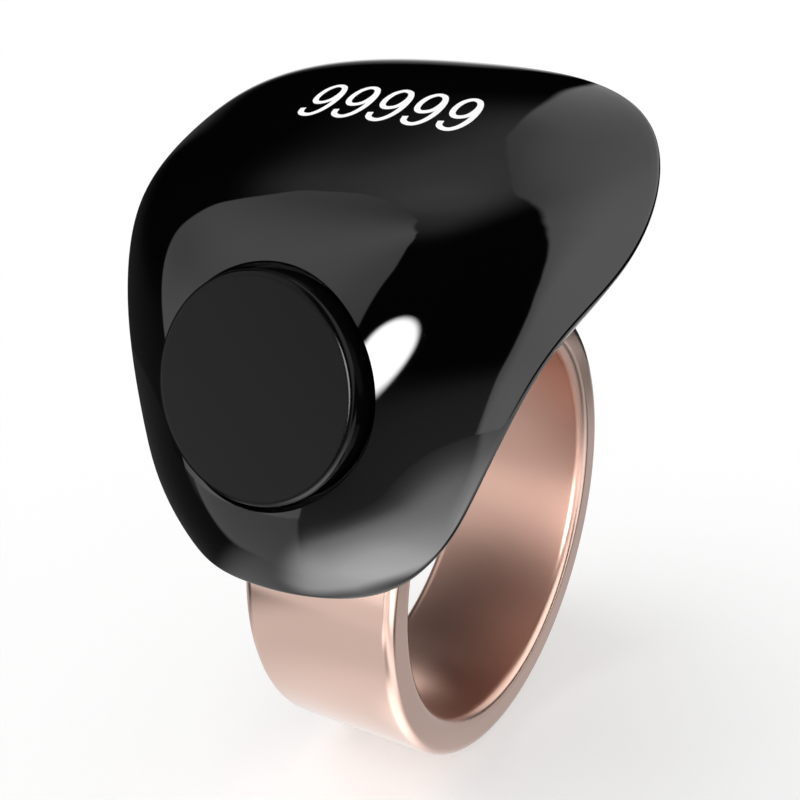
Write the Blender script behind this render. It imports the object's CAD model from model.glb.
import math

import bpy
import numpy as np
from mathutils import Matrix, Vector


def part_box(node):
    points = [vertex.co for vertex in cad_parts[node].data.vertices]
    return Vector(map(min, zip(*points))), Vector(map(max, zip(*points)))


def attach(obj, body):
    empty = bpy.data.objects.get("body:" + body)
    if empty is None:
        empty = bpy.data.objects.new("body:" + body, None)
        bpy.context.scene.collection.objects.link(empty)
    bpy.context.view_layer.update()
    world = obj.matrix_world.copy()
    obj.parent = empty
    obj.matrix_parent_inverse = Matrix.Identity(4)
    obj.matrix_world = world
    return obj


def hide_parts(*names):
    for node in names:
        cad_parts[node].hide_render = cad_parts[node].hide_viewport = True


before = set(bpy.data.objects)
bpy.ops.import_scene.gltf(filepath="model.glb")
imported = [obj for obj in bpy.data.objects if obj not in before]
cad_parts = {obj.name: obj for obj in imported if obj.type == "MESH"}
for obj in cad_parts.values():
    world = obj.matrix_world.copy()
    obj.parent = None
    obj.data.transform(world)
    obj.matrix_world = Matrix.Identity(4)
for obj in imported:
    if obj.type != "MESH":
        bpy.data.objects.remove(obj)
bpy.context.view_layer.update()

bl_info = {
    "name": "Finger Counter",
    "version": (1, 0, 0),
    "blender": (4, 5, 0),
    "location": "3D View > Sidebar > Counter",
    "description": "Dresses a ring-mounted counter: cover, push button, lit readout, metal band and studio",
    "category": "Object",
}

MM = 0.001
DEGREE = math.pi / 180
QUARTER = math.pi / 2
WHITE = (1.0, 1.0, 1.0, 1.0)
BLACK = (0.0, 0.0, 0.0, 1.0)
ACROSS = np.array((1.0, 0.0, 0.0))
OFF_AXIS = (0.0, 1.0, 1.0)
ONE_FACE = [(0, 1, 2, 3)]

# The head's form, as shares of its length, rise and half width
PROFILE_SHARES = np.array((
    (-0.400, -0.320), (-0.397, 0.180), (-0.273, 0.480), (-0.150, 0.925),
    (0.007, 1.110), (0.217, 0.935), (0.453, 0.750), (0.613, 0.340),
))
CROWN_SHARES = np.array((0.22, 0.45, 0.665, 0.75, 0.85, 1.0, 1.13, 1.28))
OUTLINE_SHARES = (
    (0.424, 0.533), (0.960, 0.363), (1.032, 0.087), (0.848, -0.047),
    (0.944, -0.283), (0.960, -0.375), (0.744, -0.560),
)
OUTLINE_CENTRE_SHARE = -0.033
OUTLINE_REACH_SHARE = 0.543
CROWN_EDGE_SHARE = 1.35
CROWN_POWER = 2.6
BUTTON_SHARE = 0.293
READOUT_SHARE = 0.81
SPLINE_DEGREE = 3

# How a point on the cover is looked for: by its share of the length and its share of the half width
BY_SHARE, BY_SIDE = np.array(((1.0,), (0.0,))), np.array(((0.0,), (1.0,)))
LOWEST, HIGHEST = np.array(((0.002,), (-0.999,))), np.array(((0.998,), (0.999,)))
SOLVE_STEP = 1e-4
NORMAL_STEP = 10 * SOLVE_STEP
SOLVE_ROUNDS = 14
SOLVE_GRID = 90
SOLVE_SIDE = 0.98
BUTTON_SPAN = (0.05, 0.6)
READOUT_SPAN = (0.55, 0.99)

# Mesh density, and the guard rings that keep rounded edges crisp
ROUND_STATIONS = 320
COVER_RINGS = 84
ROUNDING_RINGS = 7
INNER_RINGS = 12
RIM_PROBE_SHARE = 0.01
RIM_PROBE_DROP = 0.1 * MM
RIM_GUARD = 1.6
COLLAR_MIDDLE_SHARE = 0.3
BAND_STATIONS = 360
BAND_EDGE_RINGS = 9
BAND_EDGE_GUARD = 0.06 * MM
BAND_RUN_SHARES = (0.2, 0.4, 0.6, 0.8)
BUTTON_STATIONS = 192
BUTTON_EDGE_RINGS = 10
BUTTON_FACE_SHARES = (0.2, 0.45, 0.7, 0.85)
BUTTON_FACE_GUARD = 0.1 * MM
BUTTON_WALL_GUARD = 0.05 * MM
LINE_DENSITY = 8
SHARP_ANGLE = 40 * DEGREE

# One digit nine on the cover, in shares of its height: a closed bowl and a hooked stem
NINE_BOWL_SHARES = (
    (0.035, 0.440), (-0.035, 0.566), (-0.150, 0.600), (-0.243, 0.490), (-0.272, 0.300),
    (-0.245, 0.135), (-0.172, 0.048), (-0.080, 0.050), (0.006, 0.125), (0.045, 0.270),
)
NINE_STEM_SHARES = (
    (0.030, 0.470), (0.072, 0.330), (0.092, 0.150), (0.082, -0.035), (0.028, -0.212),
    (-0.065, -0.315), (-0.170, -0.318), (-0.255, -0.250), (-0.285, -0.130),
)
NINE_STROKES = (("bowl", NINE_BOWL_SHARES, True), ("stem", NINE_STEM_SHARES, False))
MIDDLE_DIGIT_SHARE = 0.98

# Finishes: where the bore's satin starts and is full over its radius, then scale, polish and depths of grain
BORE_BLEND = (0.35 * MM, 0.05 * MM)
BROAD_GRAIN = 160.0
LEAST_ROUGHNESS = 0.01
GRAIN_DEPTH, TRACK_DEPTH, CELL_DEPTH = 0.00002, 0.00003, 0.00005

# Inner parts: colour, roughness, its swing, grain, relief, metal and the grain's stretch, then the nodes
INNER_LOOKS = {
    "dark_moulding": (
        ((0.03, 0.03, 0.033), 0.5, 0.08, 4000.0, 0.2), ("switch_body", "switch_bracket", "display_holder")),
    "pale_moulding": (((0.62, 0.6, 0.56), 0.45, 0.08, 4000.0, 0.2), ("switch_plunger",)),
    "plated_steel": (
        ((0.62, 0.62, 0.62), 0.25, 0.06, 3000.0, 0.1, 1.0, (0.3, 3, 1)),
        ("switch_dome", "holder_screws", "battery_leads", "charge_magnets")),
    "gold_plate": (((0.8, 0.58, 0.22), 0.2, 0.05, 3000.0, 0.08, 1.0), ("charge_contacts",)),
    "amber_film": (
        ((0.34, 0.13, 0.02), 0.3, 0.06, 2500.0, 0.1), ("switch_flex", "display_flex", "contact_flex")),
    "chip_moulding": (((0.014, 0.014, 0.015), 0.55, 0.08, 6000.0, 0.3), ("controller_chip", "board_parts")),
    "cell_foil": (((0.6, 0.61, 0.63), 0.35, 0.08, 1400.0, 0.5, 1.0, (1, 0.4, 1)), ("battery_cell",)),
    "dark_panel": (((0.006, 0.006, 0.008), 0.08, 0.02, 1200.0, 0.03), ("display_panel",)),
}

# Studio, in degrees: turns from the front to the right, and rises over the horizon
TURN_SPAN, ROUND_SPAN, RISE_SPAN = (-180, 180), (0, 360), (-90, 90)
ROUND_TURN_START = -125.0
LEVEL_SPAN = (0, 2)

# Large soft box on the left
SIDE_BOX_LEFT = (
    (-45, -54), (-38, -60), (-22, -68), (-5, -80), (15, -90), (30, -94), (36, -96.5), (45, -100.5),
    (50, -106), (54, -117), (62, -121), (70, -116), (76, -106), (82, -90), (90, -90),
)
SIDE_BOX_RIGHT = (
    (-45, -12), (-30, -12), (0, -10), (25, -7), (50, -6), (62, -9), (70, -16), (76, -26), (80, -45),
    (90, -60),
)
SIDE_BOX_BY_TURN = (
    (-125, 0.55), (-105, 0.62), (-90, 0.80), (-75, 1.02), (-60, 1.22), (-45, 1.33), (-30, 1.25), (-15, 1.05),
    (0, 0.95),
)
SIDE_BOX_BY_RISE = (
    (-45, 1.0), (-25, 1.0), (-10, 1.15), (5, 1.1), (20, 0.9), (40, 1.0), (60, 1.0), (90, 0.95),
)
SIDE_BOX_BLUR = (-0.6, 0.6)
SIDE_BOX_FIELD = ((0, 1, -45, -36), (0, 1, 80.5, 78.5))
LOW_LEFT_FIELD, LOW_LEFT_LEVELS = ((1, 0, -45, -85), (0, 1, 45, 5)), (1.0, 0.6)

# Long soft box on the right that runs behind the head
STRIP_TOP = (
    (44, -30), (47.5, -5), (51.3, 7), (55.9, 22), (62.5, 39), (73.6, 54), (93.8, 66), (115, 71), (133, 72.5),
    (155, 72), (171.5, 70.8), (187, 68), (198, 60.4), (202.7, 55.2), (206.7, 50.2), (235, 20),
)
STRIP_END = ((-30, 193), (21, 199.5), (30, 201.6), (38, 203), (50, 206.7), (90, 215))
STRIP_FOOT = ((44, -30), (56, -26), (64, -8), (80, 2), (110, 8), (150, 10), (235, 10))
STRIP_BY_TURN = (
    (44, 1.7), (60, 2.0), (75, 2.1), (90, 2.05), (105, 1.95), (120, 1.85), (135, 1.7), (150, 1.5),
    (165, 1.2), (175, 1.05), (185, 0.9), (195, 0.78), (207, 0.6), (235, 0.5),
)
STRIP_LEVEL_SPAN = (0, 3)
STRIP_TOP_BLUR, STRIP_START, STRIP_END_BLUR, STRIP_FOOT_BLUR = (-0.7, 0.9), (44, 47), (-0.7, 0.7), (0, 6)
STRIP_FADE, STRIP_FADE_LEVELS = (0, 11), (0.7, 1.0)

# Glow above the back, lamp before the head and dim surround below
TOP_GLOW_PLACE = (-140, 70)
TOP_GLOW_BY_SPREAD = (
    (0, 0.64), (6, 0.6), (10, 0.5), (15, 0.4), (22, 0.26), (26, 0.14), (32, 0.03), (38, 0.0),
)
TOP_GLOW_LEVEL_SPAN = (0, 1)
TOP_GLOW_SIDE = (0.16, -0.10)
OVAL_TURN, OVAL_RISE, OVAL_LEAN = 7.5, 12.8, 65 * DEGREE
OVAL_LENGTH, OVAL_WIDTH, OVAL_BLUR, OVAL_LEVEL = 17.0, 10.3, (1.15, 0.6), 26.0
LOW_GLOW_BY_RISE = ((-90, 0.8), (-45, 0.7), (-30, 0.5), (-20, 0.33), (-8, 0.24), (0, 0.05), (4, 0.0))
LOW_GLOW_BY_TURN = (
    (-180, 0.1), (-135, 0.1), (-75, 0.1), (-60, 0.3), (-30, 1.0), (50, 1.0), (62, 0.1), (180, 0.1),
)
BEHIND_FIELD = ((1, 0, -128, -142), (1, 0, -172, -160), (0, 1, 14, 3), (0, 1, -20, -12))

# Floor, lamp and camera
FLOOR_REACH = 2.0
FLOOR_COLOUR = (0.6, 0.6, 0.6, 1.0)
FLOOR_GLOW = 0.47
LAMP_PLACE = (-0.1, -0.12, 0.3)
SENSOR_WIDTH = 36.0
CLIP_START = 0.001

# Cards: sizes in metres; places and lit fields in millimetres to the right and to the back
DISC_MIDDLE, DISC_REACH, DISC_CORNERS = -0.010, 0.075, 96
BOUNCE_LIFT, LIP_LIFT, SIDE_LIFT = 0.00002, 0.00003, 0.00004
NEAR_FIELD = ((1, 0, -20, -11), (0, 1, -48, -30), (1, 0, 22, 15))
BEFORE_FIELD, BEFORE_LEVELS = ((0, 1, -1, -8), (1, 0, 6, 2)), (0.55, 0.85)
FRONT_FIELD, FRONT_LEVEL = ((-0.3, 1, -24.5, -27.5), (1, -0.225, 8.6, 5.6)), 0.95
FAR_FIELD, FAR_LEVEL = ((0, 1, -34, -44),), 0.28
CORNER_FIELD, CORNER_LEVEL = ((1, 0.97, -2, 3), (1, 0, 22, 30)), 1.5
TOE_PLACE, TOE_SPREAD, TOE_LEVEL = (6, -13), (7.5, 2.0), 1.4
EVEN_LEVEL = 0.05
LIP_PLACE, LIP_AHEAD, LIP_BEHIND = (11, -23), 1.5, -0.5
LIP_SPOT = (
    (0, 7.2), (5, 6.6), (7.5, 5.8), (11, 4.8), (14, 4.0), (17, 3.3), (20, 2.7), (25, 1.5), (29, 0.75),
    (36, 0.25), (45, 0.0),
)
LIP_LEVEL_SPAN = (0, 8)
LIP_BEND, LIP_SLOPE, LIP_BACK, LIP_LEFT = 6.0, 0.4, (-19.6, -23.2), (-10, 1)
SIDE_CARD = (-0.12, 0.10, -0.10, 0.070)
SIDE_FIELD, SIDE_LEVEL = ((1, 0, -9, -22), (0, 1, -28, -12), (0, 1, 68, 40), (1, 0, -118, -60)), 0.6
BASE_PLACE, BASE_SPREAD, BASE_LEVEL = (0, -10), (11, 4), 0.2
EDGE_FIELD, AHEAD_FIELD = ((1, 0, 8, 14), (0, 1, -4, -10)), ((1, 0, -3, 1), (0, 1, -25, -30))
EDGE_LEVEL = 1.1
BORE_CARD_REACH = 0.060
BORE_CARDS = (
    ("back_card", (0.0, 0.0, -0.010), (-146, -166), (10, 24), 2.4),
    ("low_card", (0.0, 0.008, -0.003), (-26, 6), (-8, 14), 0.4),
)
SHADE_INNER, SHADE_OUTER, SHADE_FRONT, SHADE_BACK, SHADE_LEVEL = 0.0046, 0.014, -0.010, 0.012, 0.008


def maker(kind, **settings):
    """Return what makes properties of one kind."""
    return lambda name, description, default: kind(
        name=name, description=description, default=default, **settings)


number_prop = maker(bpy.props.FloatProperty)
size_prop = maker(bpy.props.FloatProperty, unit="LENGTH")
angle_prop = maker(bpy.props.FloatProperty, subtype="ANGLE")
share_prop = maker(bpy.props.FloatProperty, subtype="FACTOR", min=0, max=1)
colour_prop = maker(bpy.props.FloatVectorProperty, subtype="COLOR")
place_prop = maker(bpy.props.FloatVectorProperty, subtype="TRANSLATION")


class CounterCover(bpy.types.PropertyGroup):
    length: size_prop("Length", "Length that the head's profile and outline follow", 0.030)
    rise: size_prop("Rise", "Height that the head's profile follows", 0.010)
    half_width: size_prop("Half width", "Half of the head's width", 0.0125)
    crown_drop: size_prop("Crown drop", "How far the cover falls away at its sides", 0.003)
    crown_tilt: angle_prop("Crown tilt", "Lean of the direction in which the sides fall", 25 * DEGREE)
    seat_tilt: angle_prop("Seat tilt", "Place of the head round the band", 58 * DEGREE)
    rim_level: size_prop("Rim level", "Height over the band where the outline has its full size", 0.00675)
    draft: angle_prop("Draft", "Slope of the walls below the rim", 35.5 * DEGREE)
    wall: size_prop("Wall", "Cover thickness", 0.0013)
    rim_round: size_prop("Rim rounding", "Radius of the rim's edge", 0.00025)
    hole_radius: size_prop("Hole radius", "Radius of the button's hole", 0.00504)
    hole_round: size_prop("Hole rounding", "Radius of the hole's edge", 0.00008)
    collar_wall: size_prop("Collar wall", "Thickness of the hole's collar", 0.0013)
    collar_depth: size_prop("Collar depth", "Depth of the collar below the cover", 0.0023)
    colour: colour_prop("Colour", "Cover colour", (0.0012, 0.0012, 0.0014))


class CounterBand(bpy.types.PropertyGroup):
    bore_radius: size_prop("Bore radius", "Finger bore", 0.010)
    wall: size_prop("Wall", "Band thickness", 0.002)
    width: size_prop("Width", "Band width", 0.0082)
    outer_edge: size_prop("Outer edge", "Radius of the outer edges", 0.0005)
    bore_edge: size_prop("Bore edge", "Radius of the bore's edges", 0.0006)
    window_turn: angle_prop("Window turn", "Place of the window round the band", 49 * DEGREE)
    window_width: size_prop("Window width", "Window size across the band", 0.0056)
    window_length: size_prop("Window length", "Window size round the band", 0.003)
    window_corner: size_prop("Window corner", "Radius of the window's corners", 0.0008)


class CounterButton(bpy.types.PropertyGroup):
    radius: size_prop("Radius", "Button radius", 0.00484)
    proud: size_prop("Proud", "Height of the button over the cover", 0.0005)
    edge: size_prop("Edge", "Radius of the button's edge", 0.0003)
    top_wall: size_prop("Top wall", "Thickness of the button's face", 0.0012)
    skirt_wall: size_prop("Skirt wall", "Thickness of the skirt", 0.001)
    groove_depth: size_prop("Groove depth", "Place of the seal groove below the cover", 0.00135)
    groove_width: size_prop("Groove width", "Width of the seal groove", 0.00046)
    groove_bed: size_prop("Groove bed", "Radius of the seal groove's bed", 0.00451)
    flange_top: size_prop("Flange top", "Place of the stop flange below the cover", 0.00232)
    flange_thickness: size_prop("Flange thickness", "Thickness of the stop flange", 0.0005)
    flange_radius: size_prop("Flange radius", "Radius of the stop flange", 0.00554)
    stem_radius: size_prop("Stem radius", "Radius of the stem over the switch", 0.0012)
    stem_length: size_prop("Stem length", "Reach of the stem past the flange", 0.00008)


class CounterReadout(bpy.types.PropertyGroup):
    digits: bpy.props.IntProperty(
        name="Digits", description="How many digits are lit", default=5, min=1, max=6)
    height: size_prop("Height", "Digit height", 0.0033)
    pitch: size_prop("Pitch", "Digit spacing", 0.00181)
    stroke: size_prop("Stroke", "Stroke width", 0.00028)
    squeeze: size_prop("Squeeze", "How much the spacing closes up towards the right", 0.000012)
    slope: angle_prop("Slope", "Turn of the row of digits", -1.3 * DEGREE)
    raise_by: size_prop("Raise", "Place of the row along the cover", 0.00024)
    taper: share_prop("Taper", "How much smaller each digit is than the one on its left", 0.014)
    shift: size_prop("Shift", "Place of the middle digit across the cover", -0.00017)
    lift: size_prop("Lift", "Height of the light's image over the cover", 0.000012)
    colour: colour_prop("Colour", "Light colour", (1.0, 1.0, 1.0))


class CounterFinish(bpy.types.PropertyGroup):
    band: colour_prop("Band", "Plated band colour", (0.66, 0.47, 0.40))
    band_roughness: share_prop("Band roughness", "Band polish", 0.16)
    bore_roughness: share_prop("Bore roughness", "Polish of the bore", 0.37)
    bore: colour_prop("Bore", "Bore colour", (0.64, 0.41, 0.335))
    button: colour_prop("Button", "Button colour", (0.0025, 0.0025, 0.0027))
    case: colour_prop("Case", "Rear shell colour", (0.003, 0.003, 0.0035))


class CounterStage(bpy.types.PropertyGroup):
    eye: place_prop("Eye", "Camera place", (0.029636, -0.054884, 0.032207))
    aim: place_prop("Aim", "Point the camera looks at", (-0.00322, 0.00139, 0.00533))
    lens: number_prop("Lens", "Focal length in millimetres", 58.8)
    floor_level: size_prop("Floor level", "Height of the floor", -0.01205)
    fill: number_prop("Fill", "Level of the even light", 0.55)
    lamp_level: number_prop("Lamp level", "Level of the overhead lamp", 1.2)
    lamp_spread: angle_prop("Lamp spread", "Angle that the overhead lamp fills", 50 * DEGREE)


GROUPS = (
    ("counter_cover", CounterCover),
    ("counter_band", CounterBand),
    ("counter_button", CounterButton),
    ("counter_readout", CounterReadout),
    ("counter_finish", CounterFinish),
    ("counter_stage", CounterStage),
)


def unit(vectors):
    """Return vectors at length one."""
    return vectors / np.linalg.norm(vectors, axis=-1, keepdims=True)


def without(vectors, line):
    """Return vectors without their part along a line."""
    return vectors - line * (vectors * line).sum(-1, keepdims=True)


def crossed(first, second):
    """Return the area that pairs of flat vectors span."""
    return first[:, 0] * second[:, 1] - first[:, 1] * second[:, 0]


def spline_weights(count, share):
    """Return the weights of a clamped spline's points at shares of its length."""
    spans = count - SPLINE_DEGREE
    ends = [0.0] * SPLINE_DEGREE
    knots = ends + [step / spans for step in range(spans + 1)] + [1.0] * SPLINE_DEGREE
    share = np.clip(share, 0.0, 1.0 - 1e-9)
    weights = [np.where((low <= share) & (share < high), 1.0, 0.0) for low, high in zip(knots, knots[1:])]
    for degree in range(1, SPLINE_DEGREE + 1):
        raised = []
        for i in range(len(knots) - 1 - degree):
            weight = np.zeros_like(share)
            if knots[i + degree] > knots[i]:
                weight = weight + (share - knots[i]) / (knots[i + degree] - knots[i]) * weights[i]
            if knots[i + degree + 1] > knots[i + 1]:
                fall = (knots[i + degree + 1] - share) / (knots[i + degree + 1] - knots[i + 1])
                weight = weight + fall * weights[i + 1]
            raised.append(weight)
        weights = raised
    return np.stack(weights, -1)


class HeadForm:
    """The head's outside in the seat's frame: across the band, along it and over it."""

    def __init__(self, sizes):
        self.sizes = sizes
        self.centre = sizes.length * OUTLINE_CENTRE_SHARE
        low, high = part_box("ring_band")
        self.band_radius = (high.y - low.y) / 2

    def profile(self, weights):
        """Return points of the middle line, from the weights of its spline."""
        return (weights @ PROFILE_SHARES) * np.array((self.sizes.length, self.sizes.rise))

    def place(self, at):
        """Return points of the cover's outside."""
        share, side = at
        weights = spline_weights(len(PROFILE_SHARES), share)
        line = self.profile(weights)
        reach = side * CROWN_EDGE_SHARE * self.sizes.half_width * (weights @ CROWN_SHARES)
        drop = self.sizes.crown_drop * (CROWN_EDGE_SHARE * np.abs(side)) ** CROWN_POWER
        along = line[..., 0] + math.sin(self.sizes.crown_tilt) * drop
        over = line[..., 1] - math.cos(self.sizes.crown_tilt) * drop
        return np.stack([reach, along, over], -1)

    def normal(self, at):
        """Return the directions that face out of the cover."""
        along = self.place(at + NORMAL_STEP * BY_SHARE) - self.place(at - NORMAL_STEP * BY_SHARE)
        aside = self.place(at + NORMAL_STEP * BY_SIDE) - self.place(at - NORMAL_STEP * BY_SIDE)
        return unit(np.cross(aside, along))

    def below(self, at, depth):
        """Return points that lie a depth below the cover's outside."""
        return self.place(at) - self.normal(at) * depth

    def outline(self, turn):
        """Return points of the closed outline at shares of its round."""
        half = [(self.sizes.half_width * wide, self.sizes.length * along) for wide, along in OUTLINE_SHARES]
        points = np.array(half + [(-wide, along) for wide, along in reversed(half)])
        first = np.floor(turn * len(points)).astype(int)
        part = turn * len(points) - first
        weights = (
            (1 - part) ** 3 / 6,
            (3 * part**3 - 6 * part**2 + 4) / 6,
            (-3 * part**3 + 3 * part**2 + 3 * part + 1) / 6,
            part**3 / 6,
        )
        return sum(w[..., None] * points[(first + k - 1) % len(points)] for k, w in enumerate(weights))

    def scales(self, level):
        """Return the outline's scale across and along at a level."""
        draw_in = math.tan(self.sizes.draft) * (self.sizes.rim_level - level)
        reach = self.sizes.length * OUTLINE_REACH_SHARE
        return 1 - draw_in / self.sizes.half_width, 1 - draw_in / reach

    def plan(self, points):
        """Return where points fall on the full-size outline's plane."""
        wide, along = self.scales(points[..., 2])
        return np.stack([points[..., 0] / wide, self.centre + (points[..., 1] - self.centre) / along], -1)

    def wall(self, turn, level):
        """Return points of the drafted wall."""
        outline = self.outline(turn)
        wide, along = self.scales(level)
        length = self.centre + (outline[:, 1] - self.centre) * along
        return np.stack([outline[:, 0] * wide, length, level], -1)

    def plane(self, share):
        """Return the origin, the direction along and the normal of the middle line at a share."""
        shares = np.array((share - NORMAL_STEP, share, share + NORMAL_STEP))
        places = self.profile(spline_weights(len(PROFILE_SHARES), shares))
        along = unit(np.array((0.0, *(places[2] - places[0]))))
        return np.array((0.0, *places[1])), along, np.array((0.0, -along[2], along[1]))

    def on_plane(self, points, plane):
        """Return where points fall on a plane of the middle line."""
        origin, along, _ = plane
        return np.stack([points[..., 0], (points - origin) @ along], -1)

    def world(self, points):
        """Return seat-frame points in the part's frame."""
        tilt = self.sizes.seat_tilt
        along, over = points[..., 1], points[..., 2] + self.band_radius
        return np.stack([
            points[..., 0],
            along * math.sin(tilt) - over * math.cos(tilt),
            along * math.cos(tilt) + over * math.sin(tilt),
        ], -1)


def solve(places, target, share_span=(0.0, 1.0)):
    """Return where on the cover the places meet the targets, by Newton's method from a coarse grid."""
    shares, sides = np.linspace(*share_span, SOLVE_GRID), np.linspace(-SOLVE_SIDE, SOLVE_SIDE, SOLVE_GRID)
    grid = np.stack(np.meshgrid(shares, sides, indexing="ij")).reshape(2, -1)
    coarse = places(grid)
    at = grid[:, [int(np.argmin(((coarse - point) ** 2).sum(-1))) for point in target]]
    for _ in range(SOLVE_ROUNDS):
        here = places(at)
        by_share = (places(at + SOLVE_STEP * BY_SHARE) - here) / SOLVE_STEP
        by_side = (places(at + SOLVE_STEP * BY_SIDE) - here) / SOLVE_STEP
        miss = target - here
        move = np.stack([crossed(miss, by_side), crossed(by_share, miss)]) / crossed(by_share, by_side)
        at = np.clip(at + move, LOWEST, HIGHEST)
    return at


def add_mesh(name, points, faces):
    """Return a new object of points and faces."""
    mesh = bpy.data.meshes.new(name)
    mesh.from_pydata(points, [], faces)
    mesh.validate()
    piece = bpy.data.objects.new(name, mesh)
    bpy.context.scene.collection.objects.link(piece)
    return piece


def shade_smooth(mesh):
    """Shade a mesh smooth apart from its sharp edges."""
    mesh.polygons.foreach_set("use_smooth", [True] * len(mesh.polygons))
    mesh.set_sharp_from_angle(angle=SHARP_ANGLE)


def ring_faces(count, rings, closed):
    """Return the faces that join rings of points, each to the next."""
    faces = []
    for ring in range(rings if closed else rings - 1):
        low, high = ring * count, (ring + 1) % rings * count
        for i in range(count):
            j = (i + 1) % count
            faces.append((low + i, low + j, high + j, high + i))
    return faces


def ring_mesh(name, rings, poles=None):
    """Return an object from joined rings of equal length, closed round the end or by two poles."""
    count = len(rings[0])
    points = np.concatenate(rings)
    faces = ring_faces(count, len(rings), poles is None)
    if poles is not None:
        first, last = len(points), len(points) - count
        points = np.concatenate([points, poles])
        for i in range(count):
            j = (i + 1) % count
            faces += [(first, j, i), (first + 1, last + i, last + j)]
    piece = add_mesh(name, points.tolist(), faces)
    shade_smooth(piece.data)
    return piece


def rounded_corner(corner, first, second, radius, steps):
    """Return rings of an arc that rounds a corner between two directions which leave it."""
    first, second = unit(first), unit(second)
    half = np.arccos(np.clip((first * second).sum(-1), -1, 1)) / 2
    reach = (radius / np.tan(half))[:, None]
    centre = corner + unit(first + second) * (radius / np.sin(half))[:, None]
    start, end = unit(corner + first * reach - centre), unit(corner + second * reach - centre)
    spread = np.arccos(np.clip((start * end).sum(-1), -1, 1))[:, None]
    rings = []
    for part in np.linspace(0.0, 1.0, steps):
        way = np.sin((1 - part) * spread) * start + np.sin(part * spread) * end
        rings.append(centre + radius * way / np.sin(spread))
    return rings


def quarter_round(centre, radius, quarter):
    """Return points of one quarter of a flat circle."""
    turns = (quarter + np.linspace(0.0, 1.0, BAND_EDGE_RINGS)) * QUARTER
    return np.array(centre) + radius * np.stack([np.cos(turns), np.sin(turns)], -1)


def smooth_line(points, closed):
    """Return a smooth line through points."""
    count = len(points)
    line = []
    for span in range(count if closed else count - 1):
        near = [span + k - 1 for k in range(4)]
        if not closed:
            near = np.clip(near, 0, count - 1)
        before, start, end, after = (points[k % count] for k in near)
        for part in np.arange(LINE_DENSITY) / LINE_DENSITY:
            line.append(0.5 * (
                2 * start + (end - before) * part
                + (2 * before - 5 * start + 4 * end - after) * part**2
                + (3 * start - before - 3 * end + after) * part**3))
    if not closed:
        line.append(points[-1])
    return np.array(line)


def plug(made, inputs):
    """Join wires and sockets to a node's inputs, and set the constants among them."""
    for key, value in inputs.items():
        if isinstance(value, Wire):
            value = value.socket
        if isinstance(value, bpy.types.NodeSocket):
            made.id_data.links.new(value, made.inputs[key])
        else:
            made.inputs[key].default_value = value


def node(tree, kind, inputs=None, **settings):
    """Return a new node with its settings and inputs."""
    made = tree.nodes.new(kind)
    for key, value in settings.items():
        setattr(made, key, value)
    plug(made, inputs or {})
    return made


def wire(tree, kind, inputs=None, output=0, **settings):
    """Return the wire that leaves a new node."""
    return Wire(tree, node(tree, kind, inputs, **settings).outputs[output])


class Wire:
    """A value in a node tree, on which sums, steps and drawn lines build."""

    def __init__(self, tree, socket):
        self.tree = tree
        self.socket = socket

    def result(self, operation, other=0.0):
        """Return the result of one sum."""
        return wire(self.tree, "ShaderNodeMath", {0: self, 1: other}, operation=operation)

    def __add__(self, other):
        return self.result("ADD", other)

    def __sub__(self, other):
        return self.result("SUBTRACT", other)

    def __mul__(self, other):
        return self.result("MULTIPLY", other)

    def __truediv__(self, other):
        return self.result("DIVIDE", other)

    def larger(self, other):
        """Return the larger of two values."""
        return self.result("MAXIMUM", other)

    def ranged(self, inputs, **settings):
        """Return the value moved from one range to another."""
        return wire(self.tree, "ShaderNodeMapRange", {"Value": self, **inputs}, "Result", **settings)

    def step(self, low, high):
        """Return 0 up to low, 1 from high on and a smooth rise between."""
        return self.ranged({"From Min": low, "From Max": high}, interpolation_type="SMOOTHSTEP")

    def between(self, low, high):
        """Return a value that runs from low to high as this one runs from 0 to 1."""
        return self.ranged({"To Min": low, "To Max": high})

    def drawn(self, points, span):
        """Return a value read from a hand-drawn line of points, whose results lie in a span."""
        (low, high), (bottom, top) = (points[0][0], points[-1][0]), span
        share = self.ranged({"From Min": low, "From Max": high})
        made = node(self.tree, "ShaderNodeFloatCurve", {"Value": share})
        line = made.mapping.curves[0]
        places = [((x - low) / (high - low), (y - bottom) / (top - bottom)) for x, y in points]
        line.points[0].location, line.points[1].location = places[0], places[-1]
        for place in places[1:-1]:
            line.points.new(*place)
        for point in line.points:
            point.handle_type = "AUTO_CLAMPED"
        made.mapping.update()
        return Wire(self.tree, made.outputs[0]).between(bottom, top)

    def parts(self):
        """Return the three parts of a place or a direction."""
        split = node(self.tree, "ShaderNodeSeparateXYZ", {0: self})
        return [Wire(self.tree, socket) for socket in split.outputs]


def new_material(name):
    """Return a node material with its tree and its shader."""
    material = bpy.data.materials.new(name)
    material.use_nodes = True
    shader = material.node_tree.nodes["Principled BSDF"]
    return material, material.node_tree, shader


def own_place(tree):
    """Return the place on the piece itself."""
    return wire(tree, "ShaderNodeTexCoord", output="Object")


def tinted(colour, share=1.0):
    """Return a colour made darker or lighter."""
    return (*(min(1.0, value * share) for value in colour), 1.0)


def two_tone(factor, low, high):
    """Return a colour between two."""
    return wire(factor.tree, "ShaderNodeMix", {"Factor": factor, 6: low, 7: high}, 2, data_type="RGBA")


def relief(height, strength, depth):
    """Return the bumps that a height gives."""
    inputs = {"Height": height, "Strength": strength, "Distance": depth}
    return wire(height.tree, "ShaderNodeBump", inputs, "Normal")


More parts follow.
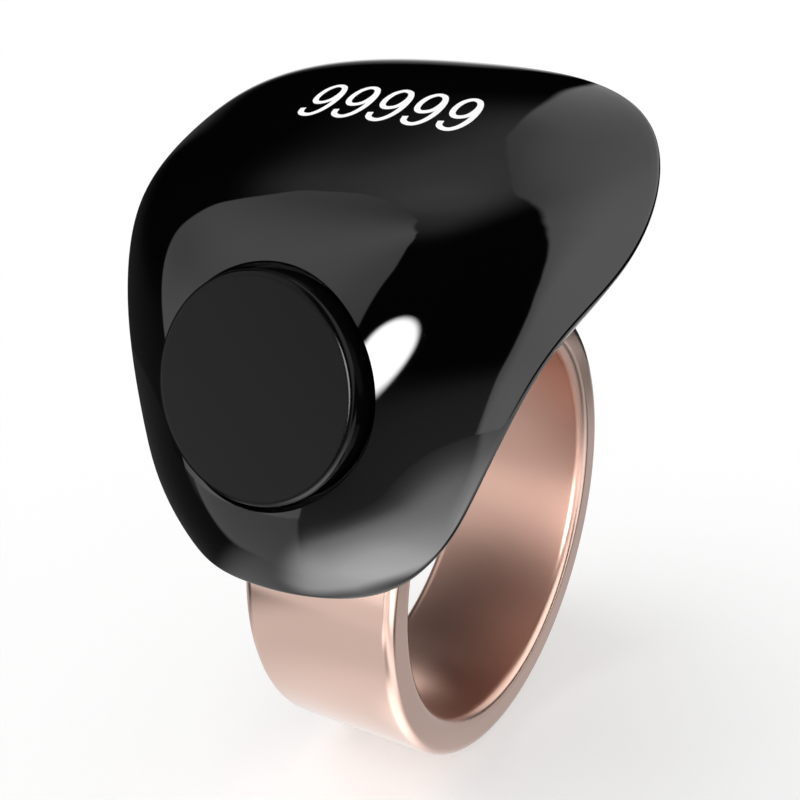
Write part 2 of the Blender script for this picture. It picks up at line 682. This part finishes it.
def grained(
    name, colour, roughness, swing, grain, bump, metal=0.0, stretch=(1, 1, 1), tint=0.12, specular=0.5,
):
    """Return a moulded or plated finish: fine grain in its relief, polish and tint."""
    material, tree, shader = new_material(name)
    place = own_place(tree)
    stretched = wire(tree, "ShaderNodeMapping", {"Vector": place, "Scale": stretch})
    fine = wire(tree, "ShaderNodeTexNoise", {"Vector": stretched, "Scale": grain, "Detail": 4.0}, "Fac")
    broad = wire(tree, "ShaderNodeTexNoise", {"Vector": place, "Scale": BROAD_GRAIN, "Detail": 2.0}, "Fac")
    polish = (fine + broad) * 0.5
    plug(shader, {
        "Base Color": two_tone(broad, tinted(colour, 1 - tint), tinted(colour, 1 + tint)),
        "Roughness": polish.between(max(LEAST_ROUGHNESS, roughness - swing), roughness + swing),
        "Normal": relief(fine, bump, GRAIN_DEPTH), "Metallic": metal, "Specular IOR Level": specular})
    return material


def board_finish(name, colour):
    """Return a circuit board: solder mask over raised tracks."""
    material, tree, shader = new_material(name)
    tracks = wire(tree, "ShaderNodeTexBrick", {
        "Vector": own_place(tree), "Scale": 900.0, "Color1": BLACK, "Color2": (0.25, 0.25, 0.25, 1.0),
        "Mortar": WHITE, "Mortar Size": 0.03}, "Color")
    plug(shader, {
        "Base Color": two_tone(tracks, tinted(colour), tinted(colour, 1.7)),
        "Normal": relief(tracks, 0.4, TRACK_DEPTH), "Roughness": 0.35})
    return material


def foam_finish(name, colour):
    """Return a soft foam: cells in its relief and tint."""
    material, tree, shader = new_material(name)
    cells = wire(tree, "ShaderNodeTexVoronoi", {"Vector": own_place(tree), "Scale": 6000.0}, "Distance")
    plug(shader, {
        "Base Color": two_tone(cells, tinted(colour, 0.5), tinted(colour)),
        "Normal": relief(cells, 0.8, CELL_DEPTH), "Roughness": 0.95})
    return material


def dress(material, *names):
    """Give carried-over nodes their finish."""
    for name in names:
        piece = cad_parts[name]
        piece.data.materials.clear()
        piece.data.materials.append(material)


class COUNTER_OT_cover(bpy.types.Operator):
    """Build the domed gloss cover with its button hole and collar"""

    bl_idname = "counter.cover"
    bl_label = "Add Cover"

    def execute(self, context):
        sizes = context.scene.counter_cover
        form = HeadForm(sizes)
        turns = np.arange(ROUND_STATIONS) / ROUND_STATIONS
        outline = form.outline(turns)
        rim_at = solve(lambda at: form.plan(form.place(at)), outline)
        rim = form.place(rim_at)
        button = form.plane(BUTTON_SHARE)
        origin, along, outward = button
        aim = unit(form.on_plane(rim, button))

        def round_hole(radius, depth=0.0):
            return solve(lambda at: form.on_plane(form.below(at, depth), button), aim * radius, BUTTON_SPAN)

        def collar_ring(radius):
            ring = aim * radius
            return origin + ring[:, :1] * ACROSS + ring[:, 1:] * along - outward * sizes.collar_depth

        hole_at = round_hole(sizes.hole_radius + sizes.hole_round)
        hole = form.place(hole_at)
        line = unit(np.roll(rim, -1, 0) - np.roll(rim, 1, 0))
        inward = without(form.place(rim_at + RIM_PROBE_SHARE * (hole_at - rim_at)) - rim, line)
        downward = without(form.wall(turns, rim[:, 2] - RIM_PROBE_DROP) - rim, line)
        rim_rings = rounded_corner(rim, inward, downward, sizes.rim_round, ROUNDING_RINGS)
        taken = np.linalg.norm(rim_rings[0] - rim, axis=-1) / np.linalg.norm(rim - hole, axis=-1)
        reach = (1 - RIM_GUARD * taken) * (rim_at - hole_at)
        outside = [form.place(hole_at + part * reach) for part in np.linspace(0.0, 1.0, COVER_RINGS)]
        seam_at = solve(lambda at: form.plan(form.below(at, sizes.wall)), outline)
        collar_radius = sizes.hole_radius + sizes.collar_wall
        inner_reach = round_hole(collar_radius, sizes.wall) - seam_at
        inside = [
            form.below(seam_at + part * inner_reach, sizes.wall)
            for part in np.linspace(0.0, 1.0, INNER_RINGS)
        ]
        edge = form.place(round_hole(sizes.hole_radius)) - outward * sizes.hole_round
        collar = collar_ring(sizes.hole_radius)
        middle = COLLAR_MIDDLE_SHARE * collar + (1 - COLLAR_MIDDLE_SHARE) * edge
        rings = outside + rim_rings + inside + [collar_ring(collar_radius), collar, middle, edge]
        piece = ring_mesh("cover", [form.world(ring) for ring in rings])
        gloss = grained("gloss_cover", sizes.colour, 0.035, 0.012, 900.0, 0.02, tint=0.2)
        piece.data.materials.append(gloss)
        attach(piece, "head")
        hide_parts("front_shell")
        return {"FINISHED"}


class COUNTER_OT_readout(bpy.types.Operator):
    """Lay the lit digits on the cover"""

    bl_idname = "counter.readout"
    bl_label = "Add Readout"

    def execute(self, context):
        sizes = context.scene.counter_readout
        form = HeadForm(context.scene.counter_cover)
        material = self.light(sizes)
        for digit in range(sizes.digits):
            step = digit - (sizes.digits - 1) / 2
            height = sizes.height * (MIDDLE_DIGIT_SHARE - step * sizes.taper)
            middle = np.array((
                sizes.shift + step * sizes.pitch - step**2 * sizes.squeeze,
                sizes.raise_by + step * sizes.pitch * math.tan(sizes.slope)))
            for stroke, shares, closed in NINE_STROKES:
                points = smooth_line(np.array(shares) * height, closed) + middle
                piece = self.strip(form, "digit_%d_%s" % (digit + 1, stroke), points, closed, sizes)
                piece.data.materials.append(material)
                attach(piece, "head")
        return {"FINISHED"}

    def light(self, sizes):
        """Return the light of the digits, with the fine grid of its cells."""
        material, tree, shader = new_material("lit_digits")
        cells = wire(tree, "ShaderNodeTexVoronoi", {"Vector": own_place(tree), "Scale": 9000.0}, "Distance")
        plug(shader, {
            "Emission Strength": cells.between(1.0, 0.96), "Emission Color": tinted(sizes.colour),
            "Base Color": BLACK, "Roughness": 0.4, "Specular IOR Level": 0.0})
        return material

    def strip(self, form, name, points, closed, sizes):
        """Return a thin ribbon that follows a line on the cover."""
        plane = form.plane(READOUT_SHARE)
        if closed:
            heading = np.roll(points, -1, 0) - np.roll(points, 1, 0)
        else:
            heading = np.gradient(points, axis=0)
        heading = unit(heading)
        left = np.stack([-heading[:, 1], heading[:, 0]], -1) * sizes.stroke / 2
        top, foot = sizes.lift, sizes.lift / 4
        lines = []
        for side, lift in ((1, top), (-1, top), (-1, foot), (1, foot)):
            line = points + side * left
            at = solve(lambda at: form.on_plane(form.place(at), plane), line, READOUT_SPAN)
            lines.append(form.world(form.below(at, -lift)))
        corners = len(lines)
        faces = ring_faces(corners, len(points), closed)
        if not closed:
            last = corners * (len(points) - 1)
            faces += [(3, 2, 1, 0), (last, last + 1, last + 2, last + 3)]
        return add_mesh(name, np.concatenate(np.stack(lines, 1)).tolist(), faces)


class COUNTER_OT_band(bpy.types.Operator):
    """Turn the plated ring band and cut its window for the charging pins"""

    bl_idname = "counter.band"
    bl_label = "Add Band"

    def execute(self, context):
        finish, sizes = context.scene.counter_finish, context.scene.counter_band
        piece = self.turned(sizes)
        self.cut_window(context, piece, sizes)
        piece.data.materials.append(self.plate(finish, sizes))
        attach(piece, "head")
        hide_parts("ring_band")
        return {"FINISHED"}

    def turned(self, sizes):
        """Return the closed band with its rounded edges."""
        outer, bore = sizes.outer_edge, sizes.bore_edge
        half, low, high = sizes.width / 2, sizes.bore_radius + bore, sizes.bore_radius + sizes.wall - outer
        arcs = [
            quarter_round((half - outer, high), outer, 0), quarter_round((outer - half, high), outer, 1),
            quarter_round((bore - half, low), bore, 2), quarter_round((half - bore, low), bore, 3),
        ]
        section = []
        for arc, following in zip(arcs, arcs[1:] + arcs[:1]):
            section += list(arc)
            run = following[0] - arc[-1]
            guard = BAND_EDGE_GUARD / np.linalg.norm(run)
            section += [arc[-1] + share * run for share in (guard, *BAND_RUN_SHARES, 1 - guard)]
        angles = 2 * math.pi * np.arange(BAND_STATIONS) / BAND_STATIONS
        return ring_mesh("band", [
            np.stack([side + 0 * angles, -radius * np.cos(angles), radius * np.sin(angles)], -1)
            for side, radius in section
        ])

    def cut_window(self, context, piece, sizes):
        """Cut the rounded window under the head."""
        turn, corner = sizes.window_turn, sizes.window_corner
        outward = np.array((0.0, -math.cos(turn), math.sin(turn)))
        along = np.array((0.0, math.sin(turn), math.cos(turn)))
        wide, deep = sizes.window_width / 2 - corner, sizes.window_length / 2 - corner
        centres = ((wide, deep), (-wide, deep), (-wide, -deep), (wide, -deep))
        line = np.concatenate([quarter_round(centre, corner, i) for i, centre in enumerate(centres)])
        flat = line[:, :1] * ACROSS + line[:, 1:] * along
        levels = (sizes.bore_radius - sizes.wall / 2, sizes.bore_radius + 2 * sizes.wall)
        ends = np.array([outward * level for level in levels])
        cutter = ring_mesh("band_window", [flat + end for end in ends], ends)
        cut = piece.modifiers.new("window", "BOOLEAN")
        cut.operation, cut.solver, cut.object = "DIFFERENCE", "EXACT", cutter
        whole = piece.data
        piece.data = bpy.data.meshes.new_from_object(piece.evaluated_get(context.evaluated_depsgraph_get()))
        piece.modifiers.clear()
        bpy.data.objects.remove(cutter)
        if len(piece.data.vertices) == len(whole.vertices):
            raise RuntimeError("the band's window was not cut")
        bpy.data.meshes.remove(whole)
        piece.data.name = "band"
        shade_smooth(piece.data)

    def plate(self, finish, sizes):
        """Return the plating: polished outside and satin in the bore."""
        plate = grained(
            "rose_plate", finish.band, finish.band_roughness, 0.03, 2600.0, 0.05, metal=1.0,
            stretch=(3.0, 0.25, 0.25), tint=0.03)
        tree = plate.node_tree
        shader = tree.nodes["Principled BSDF"]
        polish, colour = (shader.inputs[key].links[0].from_socket for key in ("Roughness", "Base Color"))
        flat = wire(tree, "ShaderNodeVectorMath", {0: own_place(tree), 1: OFF_AXIS}, operation="MULTIPLY")
        radius = wire(tree, "ShaderNodeVectorMath", {0: flat}, "Value", operation="LENGTH")
        bore = radius.step(*(sizes.bore_radius + over for over in BORE_BLEND))
        plug(shader, {
            "Base Color": two_tone(bore, colour, tinted(finish.bore)),
            "Roughness": bore * (finish.bore_roughness - finish.band_roughness) + polish})
        return plate


class COUNTER_OT_button(bpy.types.Operator):
    """Turn the satin push button: rounded crown, seal groove, stop flange, skirt and stem"""

    bl_idname = "counter.button"
    bl_label = "Add Button"

    def execute(self, context):
        finish, sizes = context.scene.counter_finish, context.scene.counter_button
        form = HeadForm(context.scene.counter_cover)
        origin, along, outward = form.plane(BUTTON_SHARE)
        line = self.section(sizes)
        angles = -2 * math.pi * np.arange(BUTTON_STATIONS) / BUTTON_STATIONS
        round_line = np.cos(angles)[:, None] * ACROSS + np.sin(angles)[:, None] * along
        rings = [form.world(origin + reach * round_line - outward * depth) for reach, depth in line]
        poles = form.world(np.array([origin - outward * depth for _, depth in (line[0], line[-1])]))
        piece = ring_mesh("button", rings, poles)
        piece.data.materials.append(grained(
            "satin_button", finish.button, 0.15, 0.03, 5000.0, 0.06, tint=0.08, specular=0.13))
        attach(piece, "button")
        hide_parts("button_cap")
        return {"FINISHED"}

    def section(self, sizes):
        """Return the turned line of the button, as radii and depths below the cover."""
        radius, top, edge = sizes.radius, -sizes.proud, sizes.edge
        flange_end = sizes.flange_top + sizes.flange_thickness
        skirt, roof = radius - sizes.skirt_wall, top + sizes.top_wall
        groove_top = sizes.groove_depth - sizes.groove_width / 2
        groove_end = groove_top + sizes.groove_width
        line = [(radius * share, top) for share in BUTTON_FACE_SHARES]
        line += [(radius - edge - BUTTON_FACE_GUARD, top)]
        for turn in np.linspace(0.0, QUARTER, BUTTON_EDGE_RINGS):
            line.append((radius - edge + edge * math.sin(turn), top + edge - edge * math.cos(turn)))
        return line + [
            (radius, top + edge + BUTTON_WALL_GUARD), (radius, groove_top), (sizes.groove_bed, groove_top),
            (sizes.groove_bed, groove_end), (radius, groove_end), (radius, sizes.flange_top),
            (sizes.flange_radius, sizes.flange_top), (sizes.flange_radius, flange_end), (skirt, flange_end),
            (skirt, roof), (sizes.stem_radius, roof), (sizes.stem_radius, flange_end + sizes.stem_length),
        ]


class COUNTER_OT_case(bpy.types.Operator):
    """Finish the rear shell, its gasket and the bond on the band"""

    bl_idname = "counter.case"
    bl_label = "Finish Case"

    def execute(self, context):
        colour = context.scene.counter_finish.case
        dress(grained("gloss_case", colour, 0.1, 0.03, 1500.0, 0.04, tint=0.2), "rear_shell")
        rubber = grained("seal_rubber", (0.012, 0.012, 0.012), 0.75, 0.1, 4000.0, 0.3)
        dress(rubber, "shell_seal", "button_oring", "contact_seals")
        dress(grained("cured_bond", (0.03, 0.03, 0.03), 0.5, 0.15, 2500.0, 0.3), "seat_adhesive")
        return {"FINISHED"}


class COUNTER_OT_inner(bpy.types.Operator):
    """Finish the switch, the display stack, the boards, the cell and the charging pins"""

    bl_idname = "counter.inner"
    bl_label = "Finish Inner Parts"

    def execute(self, context):
        for name, (look, pieces) in INNER_LOOKS.items():
            dress(grained(name, *look), *pieces)
        dress(board_finish("green_board", (0.012, 0.09, 0.035)), "switch_board", "main_board")
        dress(foam_finish("dark_foam", (0.05, 0.05, 0.052)), "display_pad", "battery_cushion")
        return {"FINISHED"}


def direction(turn, rise):
    """Return the way that a turn and a rise in degrees point to."""
    turn, rise = math.radians(turn), math.radians(rise)
    return math.sin(turn) * math.cos(rise), -math.cos(turn) * math.cos(rise), math.sin(rise)


def field(first, second, edges):
    """Return 1 inside a field and 0 outside, from edges: two weights, then the dark and the full end."""
    lit = None
    for by_first, by_second, dark, full in edges:
        edge = (first * by_first + second * by_second).step(dark, full)
        lit = lit * edge if lit else edge
    return lit


def side_box(turn, rise):
    """Return the level of a large soft box on the left that reaches over the head."""
    left, right = rise.drawn(SIDE_BOX_LEFT, TURN_SPAN), rise.drawn(SIDE_BOX_RIGHT, TURN_SPAN)
    shape = (turn - left).step(*SIDE_BOX_BLUR) * (right - turn).step(*SIDE_BOX_BLUR)
    shape = shape * field(turn, rise, SIDE_BOX_FIELD)
    shape = shape * turn.drawn(SIDE_BOX_BY_TURN, LEVEL_SPAN) * rise.drawn(SIDE_BOX_BY_RISE, LEVEL_SPAN)
    return shape * field(turn, rise, LOW_LEFT_FIELD).between(*LOW_LEFT_LEVELS)


def back_strip(turn, rise):
    """Return the level of a long soft box on the right that runs behind the head."""
    depth = turn.drawn(STRIP_TOP, RISE_SPAN) - rise
    left = rise.drawn(STRIP_END, ROUND_SPAN) - turn
    height = rise - turn.drawn(STRIP_FOOT, RISE_SPAN)
    shape = depth.step(*STRIP_TOP_BLUR) * turn.step(*STRIP_START) * left.step(*STRIP_END_BLUR)
    shape = shape * height.step(*STRIP_FOOT_BLUR) * turn.drawn(STRIP_BY_TURN, STRIP_LEVEL_SPAN)
    return shape * depth.step(*STRIP_FADE).between(*STRIP_FADE_LEVELS)


def top_glow(way, right):
    """Return the level of a soft glow above the back."""
    inputs = {0: way, 1: direction(*TOP_GLOW_PLACE)}
    near = wire(way.tree, "ShaderNodeVectorMath", inputs, "Value", operation="DOT_PRODUCT")
    glow = (near.result("ARCCOSINE") / DEGREE).drawn(TOP_GLOW_BY_SPREAD, TOP_GLOW_LEVEL_SPAN)
    return glow * right.step(*TOP_GLOW_SIDE)


def oval_lamp(turn, rise):
    """Return the level of a bright oval lamp before the head, leaning to the right."""
    wide, high = turn - OVAL_TURN, rise - OVAL_RISE
    along = (wide * math.cos(OVAL_LEAN) + high * math.sin(OVAL_LEAN)) / OVAL_LENGTH
    aside = (high * math.cos(OVAL_LEAN) - wide * math.sin(OVAL_LEAN)) / OVAL_WIDTH
    return (along * along + aside * aside).step(*OVAL_BLUR) * OVAL_LEVEL


def low_glow(turn, rise):
    """Return the level of a dim surround below the floor's edge and of a low patch behind."""
    depth, side = rise.drawn(LOW_GLOW_BY_RISE, LEVEL_SPAN), turn.drawn(LOW_GLOW_BY_TURN, LEVEL_SPAN)
    return depth * side + field(turn, rise, BEHIND_FIELD)


def away(wide, deep, place):
    """Return the distance from a place on the floor."""
    right, back = wide - place[0], deep - place[1]
    return (right * right + back * back).result("SQRT")


def bounce_level(wide, deep):
    """Return the level of the card round the part, brightest in front on the right."""
    base = field(wide, deep, NEAR_FIELD) * field(wide, deep, BEFORE_FIELD).between(*BEFORE_LEVELS)
    for edges, level in ((FRONT_FIELD, FRONT_LEVEL), (FAR_FIELD, FAR_LEVEL), (CORNER_FIELD, CORNER_LEVEL)):
        base = base.larger(field(wide, deep, edges) * level)
    return base + EVEN_LEVEL + away(wide, deep, TOE_PLACE).step(*TOE_SPREAD) * TOE_LEVEL


def lip_level(wide, deep):
    """Return the level of a bright spot in front on the right, which is cut off behind."""
    right, back = wide - LIP_PLACE[0], deep - LIP_PLACE[1]
    along, aside = (right - back) * math.sqrt(0.5), (right + back) * math.sqrt(0.5)
    along = (along / LIP_AHEAD).larger(along / LIP_BEHIND)
    spot = (along * along + aside * aside).result("SQRT").drawn(LIP_SPOT, LIP_LEVEL_SPAN)
    clear = (deep - wide.result("MINIMUM", LIP_BEND) * LIP_SLOPE).step(*LIP_BACK)
    return spot * clear * wide.step(*LIP_LEFT)


def side_level(wide, deep):
    """Return the level of the band's card: a field on the left, a spot under it and two on the right."""
    base = away(wide, deep, BASE_PLACE).step(*BASE_SPREAD)
    edge = field(wide, deep, EDGE_FIELD).larger(field(wide, deep, AHEAD_FIELD))
    return field(wide, deep, SIDE_FIELD) * SIDE_LEVEL + base * BASE_LEVEL + edge * EDGE_LEVEL


def disc(level):
    """Return the points and faces of a round card on the floor."""
    points = [(0.0, DISC_MIDDLE, level)]
    for corner in range(DISC_CORNERS):
        angle = 2 * math.pi * corner / DISC_CORNERS
        points.append((DISC_REACH * math.cos(angle), DISC_MIDDLE + DISC_REACH * math.sin(angle), level))
    return points, [(0, 1 + i, 1 + (i + 1) % DISC_CORNERS) for i in range(DISC_CORNERS)]


def rectangle(left, right, front, back, level):
    """Return the corners of a level rectangle."""
    return [(left, front, level), (right, front, level), (right, back, level), (left, back, level)]


def aimed(data, place, target):
    """Return a lamp or a camera at a place, turned to a target."""
    made = bpy.data.objects.new(data.name, data)
    made.location = place
    made.rotation_euler = (Vector(target) - Vector(place)).to_track_quat("-Z", "Y").to_euler()
    bpy.context.scene.collection.objects.link(made)
    return made


def reflect_only(card):
    """Let a card show only in what reflects."""
    for ray in ("camera", "diffuse", "shadow", "transmission"):
        setattr(card, "visible_" + ray, False)


def glow_card(name, points, faces, strength, lit=()):
    """Set a glowing card; where pieces are named, it is clear and its glow is for them alone."""
    card = add_mesh(name, points, faces)
    material, tree, shader = new_material(name)
    tree.nodes.remove(shader)
    if callable(strength):
        wide, deep, _ = own_place(tree).parts()
        strength = strength(wide / MM, deep / MM)
    surface = wire(tree, "ShaderNodeEmission", {"Strength": strength, "Color": WHITE})
    if lit:
        sheet = wire(tree, "ShaderNodeBsdfTransparent")
        surface = wire(tree, "ShaderNodeAddShader", {0: sheet, 1: surface})
        receivers = bpy.data.collections.new("lit_by_" + name)
        for piece in lit:
            receivers.objects.link(bpy.data.objects[piece])
        card.light_linking.receiver_collection = receivers
    plug(tree.nodes["Material Output"], {"Surface": surface})
    card.data.materials.append(material)
    reflect_only(card)


class COUNTER_OT_stage(bpy.types.Operator):
    """Set the floor, the cards, the studio surround, the lamp and the camera"""

    bl_idname = "counter.stage"
    bl_label = "Set Stage"

    def execute(self, context):
        sizes = context.scene.counter_stage
        self.floor(sizes)
        self.glow_cards(sizes)
        self.shade_cards()
        self.surround(context, sizes)
        lamp = bpy.data.lights.new("overhead", "SUN")
        lamp.angle, lamp.energy = sizes.lamp_spread, sizes.lamp_level
        overhead = aimed(lamp, LAMP_PLACE, (0.0, 0.0, 0.0))
        overhead.visible_glossy = False
        overhead.visible_camera = False
        lens = bpy.data.cameras.new("camera")
        lens.lens, lens.sensor_width, lens.clip_start = sizes.lens, SENSOR_WIDTH, CLIP_START
        context.scene.camera = aimed(lens, sizes.eye, sizes.aim)
        context.scene.view_settings.view_transform = "Standard"
        return {"FINISHED"}

    def floor(self, sizes):
        """Lay a pale floor that keeps a soft shadow."""
        corners = rectangle(-FLOOR_REACH, FLOOR_REACH, -FLOOR_REACH, FLOOR_REACH, sizes.floor_level)
        floor = add_mesh("floor", corners, ONE_FACE)
        material, tree, shader = new_material("pale_floor")
        noise = wire(tree, "ShaderNodeTexNoise", {"Vector": own_place(tree), "Scale": 40.0}, "Fac")
        seen = wire(tree, "ShaderNodeLightPath", output="Is Camera Ray")
        plug(shader, {
            "Base Color": FLOOR_COLOUR, "Roughness": noise.between(0.85, 0.9), "Specular IOR Level": 0.0,
            "Emission Color": WHITE, "Emission Strength": seen * FLOOR_GLOW})
        floor.data.materials.append(material)
        floor.visible_glossy = False

    def glow_cards(self, sizes):
        """Lay a card round the part, and clear ones for the lip, the band and the bore."""
        level = sizes.floor_level
        glow_card("bounce_card", *disc(level + BOUNCE_LIFT), bounce_level)
        glow_card("lip_card", *disc(level + LIP_LIFT), lip_level, ("cover", "button"))
        side_corners = rectangle(*SIDE_CARD, level + SIDE_LIFT)
        glow_card("side_card", side_corners, ONE_FACE, side_level, ("band",))
        for name, centre, (start, end), (low, high), strength in BORE_CARDS:
            ways = [direction(*way) for way in ((start, low), (end, low), (end, high), (start, high))]
            points = [[middle + BORE_CARD_REACH * step for middle, step in zip(centre, way)] for way in ways]
            glow_card(name, points, ONE_FACE, strength, ("band",))

    def shade_cards(self):
        """Hang a dark card under each side of the head, which only shows from below in what reflects."""
        points = []
        for side in (-1, 1):
            points += rectangle(side * SHADE_INNER, side * SHADE_OUTER, SHADE_FRONT, SHADE_BACK, SHADE_LEVEL)
        cards = add_mesh("shade_cards", points, [(0, 1, 2, 3), (7, 6, 5, 4)])
        cloth = grained("dark_cloth", (0.004, 0.004, 0.004), 0.95, 0.03, 900.0, 0.1)
        tree = cloth.node_tree
        above = wire(tree, "ShaderNodeNewGeometry", output="Backfacing")
        clear = wire(tree, "ShaderNodeBsdfTransparent")
        dark = tree.nodes["Principled BSDF"].outputs[0]
        shown = wire(tree, "ShaderNodeMixShader", {0: above, 1: dark, 2: clear})
        plug(tree.nodes["Material Output"], {"Surface": shown})
        cards.data.materials.append(cloth)
        reflect_only(cards)

    def surround(self, context, sizes):
        """Paint the studio: white to the eye, even fill, and soft boxes for what reflects."""
        world = bpy.data.worlds.new("studio")
        context.scene.world = world
        world.use_nodes = True
        tree = world.node_tree
        tree.nodes.clear()
        way = wire(tree, "ShaderNodeTexCoord", output="Generated")
        right, back, up = way.parts()
        turn = right.result("ARCTAN2", back * -1.0) / DEGREE
        rise = up.result("ARCSINE") / DEGREE
        round_turn = turn + turn.result("LESS_THAN", ROUND_TURN_START) * 360.0
        level = side_box(turn, rise).larger(back_strip(round_turn, rise)).larger(top_glow(way, right))
        level = level + oval_lamp(turn, rise) + low_glow(turn, rise)
        soft_boxes, fill, white = (
            wire(tree, "ShaderNodeBackground", {"Strength": strength, "Color": WHITE})
            for strength in (level, sizes.fill, 1.0))
        glossy, seen, through = (
            wire(tree, "ShaderNodeLightPath", output="Is %s Ray" % kind)
            for kind in ("Glossy", "Camera", "Transmission"))
        mixed = wire(tree, "ShaderNodeMixShader", {0: glossy, 1: fill, 2: soft_boxes})
        mixed = wire(tree, "ShaderNodeMixShader", {0: seen.larger(through), 1: mixed, 2: white})
        node(tree, "ShaderNodeOutputWorld", {"Surface": mixed})


class COUNTER_PT_panel(bpy.types.Panel):
    """List the counter's pieces and sizes"""

    bl_idname = "COUNTER_PT_panel"
    bl_label = "Finger Counter"
    bl_space_type = "VIEW_3D"
    bl_region_type = "UI"
    bl_category = "Counter"

    def draw(self, context):
        for operator in OPERATORS:
            self.layout.operator(operator.bl_idname)
        for key, group in GROUPS:
            box = self.layout.box()
            for name in group.__annotations__:
                box.prop(getattr(context.scene, key), name)


OPERATORS = (
    COUNTER_OT_cover,
    COUNTER_OT_readout,
    COUNTER_OT_band,
    COUNTER_OT_button,
    COUNTER_OT_case,
    COUNTER_OT_inner,
    COUNTER_OT_stage,
)


def register():
    for key, group in GROUPS:
        bpy.utils.register_class(group)
        setattr(bpy.types.Scene, key, bpy.props.PointerProperty(type=group))
    for operator in OPERATORS:
        bpy.utils.register_class(operator)
    bpy.utils.register_class(COUNTER_PT_panel)


def unregister():
    bpy.utils.unregister_class(COUNTER_PT_panel)
    for operator in reversed(OPERATORS):
        bpy.utils.unregister_class(operator)
    for key, group in reversed(GROUPS):
        delattr(bpy.types.Scene, key)
        bpy.utils.unregister_class(group)


def main():
    register()
    bpy.ops.counter.cover()
    bpy.ops.counter.readout()
    bpy.ops.counter.band()
    bpy.ops.counter.button()
    bpy.ops.counter.case()
    bpy.ops.counter.inner()
    bpy.ops.counter.stage()


if __name__ == "__main__":
    main()
